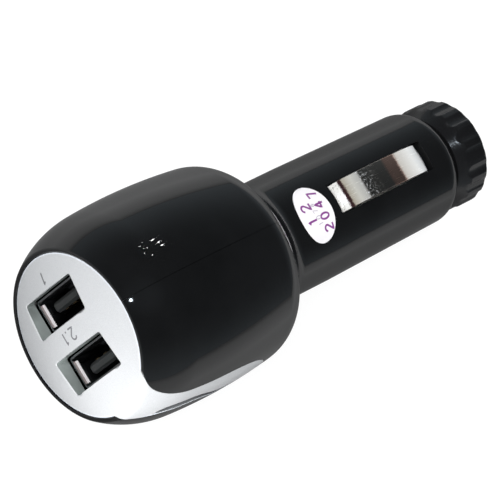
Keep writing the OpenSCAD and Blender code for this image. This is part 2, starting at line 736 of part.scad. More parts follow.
// Body of a chip with its row of legs down both long sides
module converter_chip() {
    half = 0.16 * bay_len;
    body_h = 0.09 * bay_len;
    leg = 0.026 * bay_len;
    color([0.1, 0.1, 0.1]) on_board(-1, chip_at, block_to + 0.38 * bay_len) union() {
        block([-half, -0.8 * half, 0.1 * body_h], [half, 0.8 * half, body_h]);
        for (i = [-1.5 : 1.5], y = [-1, 1])
            translate([0.5 * half * i - leg / 2, y < 0 ? -1.2 * half : 0.75 * half, 0])
                cube([leg, 0.45 * half, 0.2 * body_h]);
    }
}

module power_diode() {
    half = 0.14 * bay_len;
    color([0.12, 0.12, 0.12]) on_board(-1, chip_at, block_to + 0.77 * bay_len) union() {
        block([-half, -0.6 * half, 0.05 * half], [half, 0.6 * half, half]);
        block([-1.23 * half, -0.36 * half, 0], [1.23 * half, 0.36 * half, 0.18 * half]);
    }
}

// Small ceramic parts along the board
module chip_components() {
    side_at = board_half - 3;
    size = 0.038 * bay_len;
    spots = [[side_at, block_to - 1.9], [side_at, block_to + 1.6], [-side_at, block_to - 1.9],
             [-side_at, block_to + 1.6], [0, block_to + 0.25 * bay_len], [0, block_to + 0.83 * bay_len],
             [0, head_len - 1.2], [0, head_len + 1.8]];
    color("tan") for (side = [-1, 1], p = spots)
        on_board(side, p.x, p.y) block([-size, -1.7 * size, 0], [size, 1.7 * size, 1.2 * size]);
}

place() fascia();
place() head_shell(-1);  // head_shell_left
place() head_shell(1);  // head_shell_right
place() barrel();
place() retaining_cap();
place() cap_washer();
place() tip_pin();
place() fuse_cap_front();
place() fuse_glass();
place() fuse_element();
place() fuse_cap_rear();
place() fuse_sleeve();
place() contact_spring();
place() spring_seat();
place() ground_contact(1);  // ground_contact_top
place() ground_contact(-1);  // ground_contact_bottom
place() ground_lead(1);  // ground_lead_top
place() ground_lead(-1);  // ground_lead_bottom
place() circuit_board();
place() usb_shell(-1);  // usb_shell_1
place() usb_shell(1);  // usb_shell_2
place() usb_insulator(-1);  // usb_insulator_1
place() usb_insulator(1);  // usb_insulator_2
place() usb_contacts(-1);  // usb_contacts_1
place() usb_contacts(1);  // usb_contacts_2
place() inductor_core();
place() inductor_winding();
place() input_capacitor();
place() output_capacitor();
place() converter_chip();
place() power_diode();
place() chip_components();
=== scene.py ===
import json
import math

import bmesh
import bpy
import numpy as np
from mathutils import Matrix, Vector


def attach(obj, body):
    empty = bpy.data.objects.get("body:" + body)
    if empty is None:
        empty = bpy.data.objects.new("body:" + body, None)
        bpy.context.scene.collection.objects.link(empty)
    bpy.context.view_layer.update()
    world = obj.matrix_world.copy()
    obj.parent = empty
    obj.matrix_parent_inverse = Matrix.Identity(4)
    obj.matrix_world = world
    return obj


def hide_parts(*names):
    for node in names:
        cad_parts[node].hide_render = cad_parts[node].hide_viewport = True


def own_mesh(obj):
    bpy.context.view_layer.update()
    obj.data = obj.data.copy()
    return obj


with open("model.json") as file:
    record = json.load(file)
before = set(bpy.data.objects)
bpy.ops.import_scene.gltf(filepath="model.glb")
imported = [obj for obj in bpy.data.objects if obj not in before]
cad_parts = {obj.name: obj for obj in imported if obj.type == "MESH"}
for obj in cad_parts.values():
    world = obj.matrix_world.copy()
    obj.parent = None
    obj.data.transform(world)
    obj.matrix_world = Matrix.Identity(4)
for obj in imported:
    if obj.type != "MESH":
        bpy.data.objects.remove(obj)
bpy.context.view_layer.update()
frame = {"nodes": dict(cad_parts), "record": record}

# The plug's own axes.
# Pieces are made in millimetres on the plug's axes (u along the ports, v from port 1 to port 2,
# w from the face to the tip) and are then laid down as the part lies.
TILT = math.radians(8.0501)
LIFT = 21.6878
SHIFT = -45.1498
CT, ST = math.cos(TILT), math.sin(TILT)
TURN = Matrix(((ST, 0, CT), (0, -1, 0), (CT, 0, -ST)))
PLACE = Matrix.Translation((SHIFT / 1000, 0, LIFT / 1000)) @ TURN.to_4x4() @ Matrix.Scale(0.001, 4)


def at(u, v, w):
    """Place in the part's frame, in metres."""
    return PLACE @ Vector((u, v, w))


# Outlines of arcs and lines
def meet(p, d1, q, d2):
    """The point at distance d1 from p and d2 from q, on the left of the way from p to q."""
    p, q = np.array(p, float), np.array(q, float)
    d = np.linalg.norm(q - p)
    a = (d1 * d1 - d2 * d2 + d * d) / (2 * d)
    h = math.sqrt(d1 * d1 - a * a)
    e = (q - p) / d
    return p + a * e + h * np.array([-e[1], e[0]])


def bearing(p, q):
    """Angle in degrees of the way from p to q."""
    return math.degrees(math.atan2(q[1] - p[1], q[0] - p[0]))


# Added to the distance of a point that lies beyond the ends of an arc or line
OFF = 1e6


class Outline:
    """A chain of arcs and lines in (radius, w). It gives points, and the true normal near a point."""

    def __init__(self):
        self.parts = []
        self.chain = []

    def arc(self, c, r, start, end, steps, side=1):
        t = np.radians(np.linspace(start, end, steps + 1))
        self.parts.append(("arc", np.array(c, float), r, min(start, end), max(start, end), side))
        self.chain += [(c[0] + r * math.cos(x), c[1] + r * math.sin(x)) for x in t]
        return self

    def line(self, p, q, side=1, steps=1):
        p, q = np.array(p, float), np.array(q, float)
        self.parts.append(("line", p, q, side))
        self.chain += [tuple(p + (q - p) * i / steps) for i in range(steps + 1)]
        return self

    def points(self):
        out = []
        for p in self.chain:
            if not out or math.dist(p, out[-1]) > 1e-4:
                out.append(p)
        return out

    def normals(self, r, w):
        """For points at r, w: distance to the outline and its normal there."""
        best = np.full(len(r), 1e9)
        nr = np.zeros(len(r))
        nw = np.zeros(len(r))
        for part in self.parts:
            if part[0] == "arc":
                _, c, rad, lo, hi, side = part
                dr, dw = r - c[0], w - c[1]
                ang = np.degrees(np.arctan2(dw, dr))
                mid = (lo + hi) / 2
                ang = mid + (ang - mid + 180) % 360 - 180
                far = np.hypot(dr, dw)
                dist = np.abs(far - rad) + OFF * ((ang < lo - 0.6) | (ang > hi + 0.6))
                n = np.stack([dr, dw]) / np.maximum(far, 1e-9) * side
            else:
                _, p, q, side = part
                long = np.linalg.norm(q - p)
                d = (q - p) / long
                s = (r - p[0]) * d[0] + (w - p[1]) * d[1]
                dist = np.abs((r - p[0]) * d[1] - (w - p[1]) * d[0])
                dist = dist + OFF * ((s < -0.02) | (s > long + 0.02))
                n = np.stack([np.full(len(r), d[1] * side), np.full(len(r), -d[0] * side)])
            pick = dist < best
            best = np.where(pick, dist, best)
            nr = np.where(pick, n[0], nr)
            nw = np.where(pick, n[1], nw)
        return best, nr, nw


# Meshes and cutting. ROUND is the number of segments around the plug's axis.
ROUND = 288


def new_object(name, verts, faces):
    mesh = bpy.data.meshes.new(name)
    mesh.from_pydata([tuple(map(float, v)) for v in verts], [], [tuple(f) for f in faces])
    mesh.validate()
    obj = bpy.data.objects.new(name, mesh)
    bpy.context.scene.collection.objects.link(obj)
    return obj


def turn_outward(obj):
    bm = bmesh.new()
    bm.from_mesh(obj.data)
    bmesh.ops.recalc_face_normals(bm, faces=bm.faces)
    bm.to_mesh(obj.data)
    bm.free()
    return obj


def spin(name, chain, segments=ROUND):
    """Solid of revolution of a closed chain of (radius, w). Points on the axis become poles."""
    verts, rows = [], []
    for r, w in chain:
        if r < 1e-6:
            rows.append([len(verts)] * segments)
            verts.append((0, 0, w))
        else:
            rows.append(list(range(len(verts), len(verts) + segments)))
            turns = [2 * math.pi * i / segments for i in range(segments)]
            verts += [(r * math.cos(a), r * math.sin(a), w) for a in turns]
    faces = []
    n = len(rows)
    for k in range(n):
        a, b = rows[k], rows[(k + 1) % n]
        for i in range(segments):
            j = (i + 1) % segments
            f = []
            for x in (a[i], a[j], b[j], b[i]):
                if x not in f:
                    f.append(x)
            if len(f) > 2:
                faces.append(f)
    return turn_outward(new_object(name, verts, faces))


def prism(name, outline, low, high, axis):
    """Prism of a closed 2D outline along axis v (outline in u, w) or w (outline in u, v)."""
    n = len(outline)
    verts = []
    for d in (low, high):
        for a, b in outline:
            verts.append((a, d, b) if axis == "v" else (a, b, d))
    faces = [list(range(n))[::-1], list(range(n, 2 * n))]
    faces += [[i, (i + 1) % n, n + (i + 1) % n, n + i] for i in range(n)]
    return turn_outward(new_object(name, verts, faces))


def carve(obj, cutter, operation="DIFFERENCE"):
    """Cuts with a second object, or joins or intersects with it, and deletes that object."""
    m = obj.modifiers.new("carve", "BOOLEAN")
    m.operation = operation
    m.solver = "EXACT"
    m.object = cutter
    mesh = bpy.data.meshes.new_from_object(obj.evaluated_get(bpy.context.evaluated_depsgraph_get()))
    obj.modifiers.clear()
    old = obj.data
    obj.data = mesh
    bpy.data.meshes.remove(old)
    bpy.data.objects.remove(cutter)
    return obj


def settle(obj, outlines=(), sharp=32, tol=0.02):
    """Lays a piece down and gives it clean normals: true ones where it follows an outline."""
    me = obj.data
    n = len(me.vertices)
    co = np.empty(n * 3)
    me.vertices.foreach_get("co", co)
    co = co.reshape(-1, 3)
    r = np.hypot(co[:, 0], co[:, 1])
    best = np.full(n, 1e9)
    nr = np.zeros(n)
    nw = np.zeros(n)
    for o in outlines:
        d, a, b = o.normals(r, co[:, 2])
        pick = d < best
        best, nr, nw = np.where(pick, d, best), np.where(pick, a, nr), np.where(pick, b, nw)
    safe = np.maximum(r, 1e-6)
    true_n = np.stack([nr * co[:, 0] / safe, nr * co[:, 1] / safe, nw], 1)
    flat = [np.array(p.normal) for p in me.polygons]
    me.transform(PLACE)
    me.polygons.foreach_set("use_smooth", [True] * len(me.polygons))
    me.set_sharp_from_angle(angle=math.radians(sharp))
    me.update()
    if outlines:
        turn = np.array(TURN)
        own = [Vector(c.vector) for c in me.corner_normals]
        placed = true_n @ turn.T
        for k, p in enumerate(me.polygons):
            vs = list(p.vertices)
            if best[vs].max() < tol and float(true_n[vs].mean(0) @ flat[k]) > 0.85:
                for li in p.loop_indices:
                    own[li] = Vector(placed[me.loops[li].vertex_index]).normalized()
        me.normals_split_custom_set(own)
    return obj


def sweep(name, path, across, section):
    """Sweeps a closed section along a path. The section's offsets are along a side vector and the normal."""
    verts, faces = [], []
    path = [np.array(p, float) for p in path]
    m = len(section)
    for i, p in enumerate(path):
        a = path[max(i - 1, 0)]
        b = path[min(i + 1, len(path) - 1)]
        d1 = (p - a) if i else (b - p)
        d2 = (b - p) if i < len(path) - 1 else (p - a)
        d1, d2 = d1 / np.linalg.norm(d1), d2 / np.linalg.norm(d2)
        t = (d1 + d2) / np.linalg.norm(d1 + d2)
        up = np.cross(across, t)
        up /= np.linalg.norm(up) * max(float(t @ d1), 0.3)
        verts += [p + s * np.array(across) + h * up for s, h in section]
    for i in range(len(path) - 1):
        for k in range(m):
            j = (k + 1) % m
            faces.append((i * m + k, i * m + j, (i + 1) * m + j, (i + 1) * m + k))
    faces.append(tuple(range(m))[::-1])
    faces.append(tuple((len(path) - 1) * m + k for k in range(m)))
    return turn_outward(new_object(name, verts, faces))


# Materials
def tree_of(name):
    m = bpy.data.materials.new(name)
    m.use_nodes = True
    return m, m.node_tree, m.node_tree.nodes["Principled BSDF"]


def node(tree, kind, **values):
    """New node with its settings, and with values for inputs that have a one-word name."""
    n = tree.nodes.new(kind)
    for key, value in values.items():
        if key in n.inputs:
            n.inputs[key].default_value = value
        else:
            setattr(n, key, value)
    return n


def coordinates(tree, scale=(1, 1, 1), turn=(0, 0, 0)):
    m = node(tree, "ShaderNodeMapping", Scale=scale, Rotation=turn)
    tree.links.new(node(tree, "ShaderNodeTexCoord").outputs["Object"], m.inputs["Vector"])
    return m.outputs["Vector"]


def noise(tree, vector, scale, detail=3.0, rough=0.5):
    n = node(tree, "ShaderNodeTexNoise", Scale=scale, Detail=detail, Roughness=rough)
    tree.links.new(vector, n.inputs["Vector"])
    return n.outputs["Fac"]


def spread(tree, value, low, high, to_low, to_high):
    """Maps the range low to high onto the range to_low to to_high."""
    n = node(tree, "ShaderNodeMapRange")
    for name, limit in (("From Min", low), ("From Max", high), ("To Min", to_low), ("To Max", to_high)):
        n.inputs[name].default_value = limit
    tree.links.new(value, n.inputs["Value"])
    return n.outputs["Result"]


def maths(tree, operation, *values, **settings):
    """Math node. Each value is a number or another node's output."""
    n = node(tree, "ShaderNodeMath", operation=operation, **settings)
    for socket, value in zip(n.inputs, values):
        if isinstance(value, bpy.types.NodeSocket):
            tree.links.new(value, socket)
        else:
            socket.default_value = value
    return n.outputs[0]


def bands(tree, value, stops):
    """Colour ramp over stops of (position, colour)."""
    n = node(tree, "ShaderNodeValToRGB")
    ends = n.color_ramp.elements
    ends[0].position, ends[0].color = stops[0][0], (*stops[0][1], 1)
    ends[1].position, ends[1].color = stops[-1][0], (*stops[-1][1], 1)
    for position, colour in stops[1:-1]:
        ends.new(position).color = (*colour, 1)
    tree.links.new(value, n.inputs["Fac"])
    return n.outputs["Color"]


def two_tone(tree, value, a, b, low=0.35, high=0.65):
    """Blends from colour a to colour b as the value goes from low to high."""
    return bands(tree, value, [(low, a), (high, b)])


def bump(tree, shader, height, strength, distance):
    n = node(tree, "ShaderNodeBump", Strength=strength, Distance=distance)
    tree.links.new(height, n.inputs["Height"])
    tree.links.new(n.outputs["Normal"], shader.inputs["Normal"])


def plastic(name, colour, rough, shift=0.15, grain=0.0, grain_scale=2500):
    """Moulded plastic: slight colour drift, uneven gloss, and a fine grain if any."""
    m, t, s = tree_of(name)
    v = coordinates(t)
    lo = tuple(c * (1 - shift) for c in colour)
    hi = tuple(min(1, c * (1 + shift)) for c in colour)
    t.links.new(two_tone(t, noise(t, v, 120, 4), lo, hi), s.inputs["Base Color"])
    gloss = spread(t, noise(t, v, 420, 5, 0.6), 0.35, 0.65, rough * 0.8, rough * 1.25)
    t.links.new(gloss, s.inputs["Roughness"])
    if grain:
        bump(t, s, noise(t, v, grain_scale, 2), grain, 0.00004)
    return m


def metal(name, colour, rough, turn=(0, 0, 0), brushed=(1, 1, 1), wear=0.3):
    """Bare metal with uneven gloss, brushed along an axis where the scale says so."""
    m, t, s = tree_of(name)
    s.inputs["Metallic"].default_value = 1.0
    v = coordinates(t, brushed, turn)
    n = noise(t, v, 900, 5, 0.65)
    lo = tuple(c * (1 - wear * 0.25) for c in colour)
    t.links.new(two_tone(t, n, lo, colour), s.inputs["Base Color"])
    t.links.new(spread(t, n, 0.3, 0.7, rough * (1 - wear), rough * (1 + wear)), s.inputs["Roughness"])
    bump(t, s, n, 0.06, 0.00003)
    return m


def silver_paint():
    """Satin paint with fine metal flakes: each flake has its own tone, gloss and tilt."""
    m, t, s = tree_of("silver_paint_look")
    flakes = node(t, "ShaderNodeTexVoronoi", Scale=15000)
    t.links.new(coordinates(t), flakes.inputs["Vector"])
    sep = node(t, "ShaderNodeSeparateColor")
    t.links.new(flakes.outputs["Color"], sep.inputs["Color"])
    t.links.new(two_tone(t, sep.outputs["Red"], (0.61, 0.62, 0.635), (0.71, 0.72, 0.735), 0.05, 0.95),
                s.inputs["Base Color"])
    t.links.new(spread(t, sep.outputs["Green"], 0, 1, 0.30, 0.48), s.inputs["Roughness"])
    s.inputs["Metallic"].default_value = 0.35
    s.inputs["Coat Weight"].default_value = 0.25
    s.inputs["Coat Roughness"].default_value = 0.2
    bump(t, s, sep.outputs["Blue"], 0.05, 0.00003)
    return m


def gloss_black():
    """Piano black with a faint waviness."""
    m, t, s = tree_of("gloss_black_look")
    v = coordinates(t)
    t.links.new(two_tone(t, noise(t, v, 90, 3), (0.0035, 0.0036, 0.0038), (0.0055, 0.0056, 0.006)),
                s.inputs["Base Color"])
    t.links.new(spread(t, noise(t, v, 260, 6, 0.65), 0.3, 0.72, 0.03, 0.06), s.inputs["Roughness"])
    bump(t, s, noise(t, v, 160, 2), 0.012, 0.0002)
    return m


# Zones along the contact's leaf start at LEAF_FROM and run over LEAF_LEN, in millimetres. Their borders
# are rough over RAGGED metres.
LEAF_FROM, LEAF_LEN, RAGGED = 53.0, 22.0, 0.0010


def nickel_leaf():
    """Plated spring sheet: satin at its start, then painted reflections along it in dark, brown and bright
    bands, pale painted glints near the crest and dark specks in the first zone; it is scratched along its
    length where sockets rub it.
    """
    m, t, s = tree_of("nickel_leaf_painted_reflection_look")
    along = coordinates(t, turn=(0, -TILT, 0))
    sep = node(t, "ShaderNodeSeparateXYZ")
    t.links.new(along, sep.inputs["Vector"])
    start = at(0, 0, LEAF_FROM)
    first = start.x * CT - start.z * ST + RAGGED / 2
    grains = noise(t, along, 2300, 5, 0.8)
    ragged = maths(t, "MULTIPLY_ADD", grains, RAGGED, sep.outputs["X"])
    place = spread(t, ragged, first, first + LEAF_LEN / 1000, 0.0, 1.0)

    def zones(rows):
        return bands(t, place, [((w - LEAF_FROM) / LEAF_LEN, colour) for w, colour in rows])

    def levels(rows):
        return zones([(w, (value,) * 3) for w, value in rows])

    # Rows of place, colour and share of bare metal. Past the satin start the colours are painted
    # reflections.
    satin, dark, brown = (0.84, 0.83, 0.80), (0.33, 0.30, 0.27), (0.74, 0.47, 0.38)
    rows = [(53.0, satin, 0.25), (54.6, satin, 0.25),
            (54.9, (0.16, 0.07, 0.08), 0.9), (55.3, (0.20, 0.10, 0.09), 0.9),
            (55.6, (0.50, 0.46, 0.38), 0.4), (57.2, (0.66, 0.65, 0.60), 0.35),
            (58.9, (0.56, 0.56, 0.54), 0.4), (59.5, dark, 1.0), (65.2, dark, 1.0),
            (65.9, brown, 1.0), (68.2, brown, 1.0), (68.9, (0.66, 0.63, 0.58), 0.3),
            (72.5, (0.92, 0.92, 0.90), 0.2), (75.0, (0.80, 0.82, 0.84), 0.2)]
    tone = zones([(w, colour) for w, colour, _ in rows])
    bare = levels([(w, value) for w, _, value in rows])
    speckled = levels([(53.0, 1.0), (54.4, 1.0), (54.8, 0.0), (58.6, 0.0), (59.1, 1.0), (60.6, 1.0),
                       (61.8, 0.45), (63.4, 0.0), (75.0, 0.0)])
    specks = maths(t, "MULTIPLY", speckled, spread(t, grains, 0.53, 0.64, 0.0, 1.0))
    # Specks are dark in the first zone and pale in the others, where they are painted glints
    dark_speck, glint = (0.10, 0.09, 0.08), (0.80, 0.83, 0.86)
    other = bands(t, place, [(0.0, dark_speck), (0.08, dark_speck), (0.25, glint), (1.0, glint)])
    painted_reflection_mix = node(t, "ShaderNodeMix", data_type="RGBA")
    t.links.new(tone, painted_reflection_mix.inputs["A"])
    t.links.new(other, painted_reflection_mix.inputs["B"])
    t.links.new(specks, painted_reflection_mix.inputs["Factor"])
    t.links.new(painted_reflection_mix.outputs["Result"], s.inputs["Base Color"])
    t.links.new(maths(t, "MULTIPLY_ADD", specks, -0.6, bare, use_clamp=True), s.inputs["Metallic"])
    stretch = node(t, "ShaderNodeMapping", Scale=(0.12, 1.6, 0.12))
    t.links.new(along, stretch.inputs["Vector"])
    scratches = noise(t, stretch.outputs["Vector"], 2600, 4, 0.7)
    t.links.new(spread(t, scratches, 0.45, 0.65, 0.12, 0.30), s.inputs["Roughness"])
    bump(t, s, scratches, 0.08, 0.00003)
    return m


def glass_look():
    m, t, s = tree_of("fuse_glass_look")
    v = coordinates(t)
    tint = two_tone(t, noise(t, v, 200, 2), (0.93, 0.97, 0.96), (0.97, 0.99, 0.99))
    t.links.new(tint, s.inputs["Base Color"])
    s.inputs["Transmission Weight"].default_value = 1.0
    s.inputs["IOR"].default_value = 1.5
    t.links.new(spread(t, noise(t, v, 500, 3), 0.3, 0.7, 0.01, 0.05), s.inputs["Roughness"])
    return m


def board_look():
    """Green solder resist with a faint pattern of tracks below it."""
    m, t, s = tree_of("board_green_look")
    v = coordinates(t, turn=(0, -TILT, 0))
    bricks = node(t, "ShaderNodeTexBrick", Scale=260, Color1=(0.012, 0.11, 0.04, 1),
                  Color2=(0.016, 0.15, 0.055, 1), Mortar=(0.03, 0.26, 0.10, 1))
    bricks.inputs["Mortar Size"].default_value = 0.03
    t.links.new(v, bricks.inputs["Vector"])
    t.links.new(bricks.outputs["Color"], s.inputs["Base Color"])
    t.links.new(spread(t, noise(t, v, 500, 3), 0.3, 0.7, 0.25, 0.4), s.inputs["Roughness"])
    bump(t, s, bricks.outputs["Fac"], 0.1, 0.00003)
    return m


LOOK = {
    "silver_paint": silver_paint(),
    "gloss_black": gloss_black(),
    "cap_black": plastic("cap_black_look", (0.006, 0.006, 0.0065), 0.20, 0.2, 0.2, 3200),
    "nickel_spring": nickel_leaf(),
    "nickel": metal("nickel_look", (0.80, 0.79, 0.76), 0.16, wear=0.4),
    "tin_steel": metal("tin_steel_look", (0.30, 0.30, 0.31), 0.34, (0, -TILT, 0), (0.15, 1, 1), 0.35),
    "brass": metal("brass_look", (0.78, 0.60, 0.30), 0.28, wear=0.4),
    # The gold contacts are darkened far below gold's colour: painted shade of the sockets' insides
    "gold_contact": metal("gold_contact_painted_shade_look", (0.11, 0.08, 0.04), 0.5, wear=0.3),
    "copper": metal("copper_look", (0.66, 0.30, 0.13), 0.32, (0, 0, 0), (1, 12, 1), 0.4),
    "socket_black": plastic("socket_black_look", (0.030, 0.032, 0.032), 0.42, 0.2, 0.3),
    "sleeve_white": plastic("sleeve_white_look", (0.74, 0.72, 0.67), 0.45, 0.05, 0.2),
    "fibre": plastic("fibre_look", (0.30, 0.15, 0.07), 0.7, 0.35, 0.6, 1500),
    "fuse_glass": glass_look(),
    "board_green": board_look(),
    "ferrite": plastic("ferrite_look", (0.045, 0.045, 0.048), 0.55, 0.3, 0.5),
    "can_blue": plastic("can_blue_look", (0.012, 0.02, 0.09), 0.28, 0.15),
    "chip_black": plastic("chip_black_look", (0.014, 0.014, 0.015), 0.5, 0.2, 0.4),
    "ceramic_tan": plastic("ceramic_tan_look", (0.42, 0.31, 0.19), 0.5, 0.12, 0.3),
    "lead_red": plastic("lead_red_look", (0.33, 0.012, 0.012), 0.4, 0.12),
}
slot_of = {s["node"]: s["material_slot"] for s in frame["record"]["subparts"]}
for name, obj in frame["nodes"].items():
    obj.data.materials.clear()
    obj.data.materials.append(LOOK[slot_of[name]])


def piece(obj, material, body, nodes=()):
    """Gives a mesh its look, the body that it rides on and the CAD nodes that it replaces."""
    obj.data.materials.clear()
    obj.data.materials.append(material)
    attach(obj, body)
    if nodes:
        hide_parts(*nodes)
    return obj


# The head's outlines: a small round rim, the front, crown and rear arcs, and the face's shallow dome.
# The solids are cut by the same sizes in the part's source.
FACE_R, DOME, FACE_BACK, SKIRT_END = 14.15, 50.0, 0.9, 3.0
RIM_EDGE, RIM_PROUD, FIT_GAP = 0.45, 0.33, 0.06
FRONT, REAR, CROWN, HEAD_LEN = 19.8, 6.7, 120.0, 37.2
HEAD_R, HEAD_R_AT, EDGE_BLEND = 18.26, 17.6, 1.5
SHELL_WALL, FACE_WALL, RECESS_DEPTH = 1.8, 1.6, 0.7
rim_c = (FACE_R + FIT_GAP + RIM_EDGE, RIM_EDGE - RIM_PROUD)
crown_c = (HEAD_R - CROWN, HEAD_R_AT)
front_c = meet(crown_c, CROWN - FRONT, rim_c, FRONT - RIM_EDGE)
rear_at = HEAD_LEN - REAR
rear_c = (crown_c[0] + math.sqrt((CROWN - REAR) ** 2 - (rear_at - HEAD_R_AT) ** 2), rear_at)
dome_c = (0.0, math.sqrt(DOME ** 2 - FACE_R ** 2) - 0.1)
blend_c = meet(dome_c, DOME - EDGE_BLEND, front_c, FRONT - EDGE_BLEND)
A_RIM, A_FRONT, A_REAR = bearing(front_c, rim_c), bearing(crown_c, front_c), bearing(crown_c, rear_c)


def flank(o, inset, steps=24):
    """Adds the crown and rear arcs, set in by a wall or a depth."""
    o.arc(crown_c, CROWN - inset, A_FRONT, A_REAR, steps)
    return o.arc(rear_c, REAR - inset, A_REAR, 90, steps)


def inner(inset):
    """The head's outline without its rim, set in."""
    o = Outline()
    o.arc(front_c, FRONT - inset, A_RIM, A_FRONT, 24)
    return flank(o, inset)


black = Outline()
black.line((FACE_R + FIT_GAP, SKIRT_END + FIT_GAP), (FACE_R + FIT_GAP, rim_c[1]))
black.arc(rim_c, RIM_EDGE, -180, A_RIM, 10)
black.arc(front_c, FRONT, A_RIM, A_FRONT, 40)
flank(black, 0, 40)
silver = Outline()
silver.arc(dome_c, DOME, -90, bearing(dome_c, blend_c), 40)
silver.arc(blend_c, EDGE_BLEND, bearing(dome_c, blend_c), bearing(front_c, blend_c), 12)
silver.arc(front_c, FRONT, bearing(front_c, blend_c), A_FRONT, 40)
flank(silver, 0, 40)

# The band runs back along the side to BAND_END and is rounded off from BAND_ROUND on
BAND_END, BAND_ROUND, BAND_HALF, BAND_LOW = 28.8, 15.0, 6.2, 1.9
BAND_TAPER = BAND_END - BAND_ROUND
RECESS_FROM, RECESS_TO, RECESS_UP, RECESS_W = 4.0, BAND_END - 7.6, 0.35, 1.5


def band_upper(w):
    """Height u of the band's upper edge at w, flared where it leaves the face."""
    flared = BAND_HALF + 1.6 * math.exp(-w / 5) + 1.4 * math.exp(-w / 0.9)
    if w < BAND_ROUND:
        return flared
    return flared * math.sqrt(max(0.0, 1 - ((min(w, BAND_END) - BAND_ROUND) / BAND_TAPER) ** 3))


def band_lower(w):
    """Height u of the band's lower edge at w."""
    share = 0.5 + 0.5 * math.cos(math.radians(20 * min(max(w - BAND_END + 18, 0), 9)))
    return BAND_LOW * share - 2.9 * math.exp(-w * w / 16) - 1.4 * math.exp(-2 * w) + 0.1


def band_outline(gap):
    """Side view of the band, grown by a gap, from in front of the face to its tip."""
    stations = list(np.linspace(-0.43, 3, 40)) + list(np.linspace(3.4, BAND_ROUND, 30))
    stations += [BAND_ROUND + BAND_TAPER * math.sin(math.radians(a)) for a in np.linspace(1.5, 88.5, 44)]
    upper = [(band_upper(w) + gap, w) for w in stations]
    lower = [(band_lower(w) - gap, w) for w in stations]
    tip = (lower[-1][0], BAND_END + gap)
    return [(upper[0][0], -4)] + upper + [tip] + lower[::-1] + [(lower[0][0], -4)]


def recess_outline():
    """Leaf whose lower edge follows the band's lower edge."""
    low, high = RECESS_FROM, RECESS_TO
    shares = [0.5 - 0.5 * math.cos(math.pi * i / 60) for i in range(61)]
    shares = [0, 0.0004] + shares[1:]
    places = [low + s * (high - low) for s in shares]
    lower = [(band_lower(w) + RECESS_UP, w) for w in places]
    width = [RECESS_W * s ** 0.25 * (1 - s) ** 0.8 / 0.56 for s in shares]
    upper = [(u + x, w) for (u, w), x in zip(lower, width)]
    return lower + upper[-2:0:-1]


# Glossy head shells
# Radius of the shells' opening for the barrel and of the face's skirt, and w of the mouth's inner edge
# and of the ledge behind the face
MOUTH_R, SKIRT_R, MOUTH_W, LEDGE_W = 11.26, 12.95, 35.35, 4.36


def shell_chain():
    """Section of the two shells: outer skin, mouth, inner wall and the ledge that holds the face."""
    outer = black.points()
    stop = next(i for i, p in enumerate(outer) if p[1] > 30 and p[0] < MOUTH_R)
    outer = outer[:stop]
    end = (MOUTH_R, rear_c[1] + math.sqrt(REAR ** 2 - (MOUTH_R - rear_c[0]) ** 2))
    inside = [p for p in inner(SHELL_WALL).points() if p[1] > 4.4 and not (p[1] > 33 and p[0] < 11.3)]
    inside = [(MOUTH_R, MOUTH_W)] + inside[::-1]
    ledge = [(16.0, LEDGE_W), (SKIRT_R, LEDGE_W), (SKIRT_R, SKIRT_END + FIT_GAP)]
    return outer + [end] + inside + ledge


def head_shell(name, low, high):
    """One half of the head, between v = low and v = high."""
    obj = spin(name, shell_chain())
    carve(obj, prism("cut", band_outline(FIT_GAP), 0, 30, "v"))
    half = prism("half", [(-30, -5), (30, -5), (30, 45), (-30, 45)], low, high, "v")
    return settle(carve(obj, half, "INTERSECT"), [black])


for half, low, high in (("left", -30, -0.03), ("right", 0.03, 30)):
    piece(head_shell(f"head_shell_{half}_gloss", low, high), LOOK["gloss_black"], "plug",
          [f"head_shell_{half}"])

# Silver fascia
PAIR, PITCH = -0.4, 10.5
PORT_V = (PAIR - PITCH / 2, PAIR + PITCH / 2)
PORT_LONG, PORT_SHORT, PORT_CORNER = 14.3, 6.3, 0.5


def rounded(long, short, corner, steps=8):
    """Rectangle with rounded corners."""
    out = []
    for cx, cy, a in ((1, 1, 0), (-1, 1, 90), (-1, -1, 180), (1, -1, 270)):
        for i in range(steps + 1):
            t = math.radians(a + 90 * i / steps)
            out.append((cx * (long / 2 - corner) + corner * math.cos(t),
                        cy * (short / 2 - corner) + corner * math.sin(t)))
    return out


def chamfer(v, x):
    """Cutter that breaks the edge between a cut-out and the dome by x."""
    verts, faces = [], []
    for grow, lift in ((-0.2, -0.2), (-0.2, x + 0.2), (2 * x, -x)):
        for a, b in rounded(PORT_LONG + 2 * grow, PORT_SHORT + 2 * grow, PORT_CORNER + grow):
            skin_w = dome_c[1] - math.sqrt(DOME ** 2 - a * a - (b + v) ** 2)
            verts.append((a, b + v, skin_w + lift))
    n = len(verts) // 3
    for k in range(3):
        for i in range(n):
            j = (i + 1) % n
            faces.append((k * n + i, k * n + j, (k + 1) % 3 * n + j, (k + 1) % 3 * n + i))
    return turn_outward(new_object("chamfer", verts, faces))


recess_floor = inner(RECESS_DEPTH)


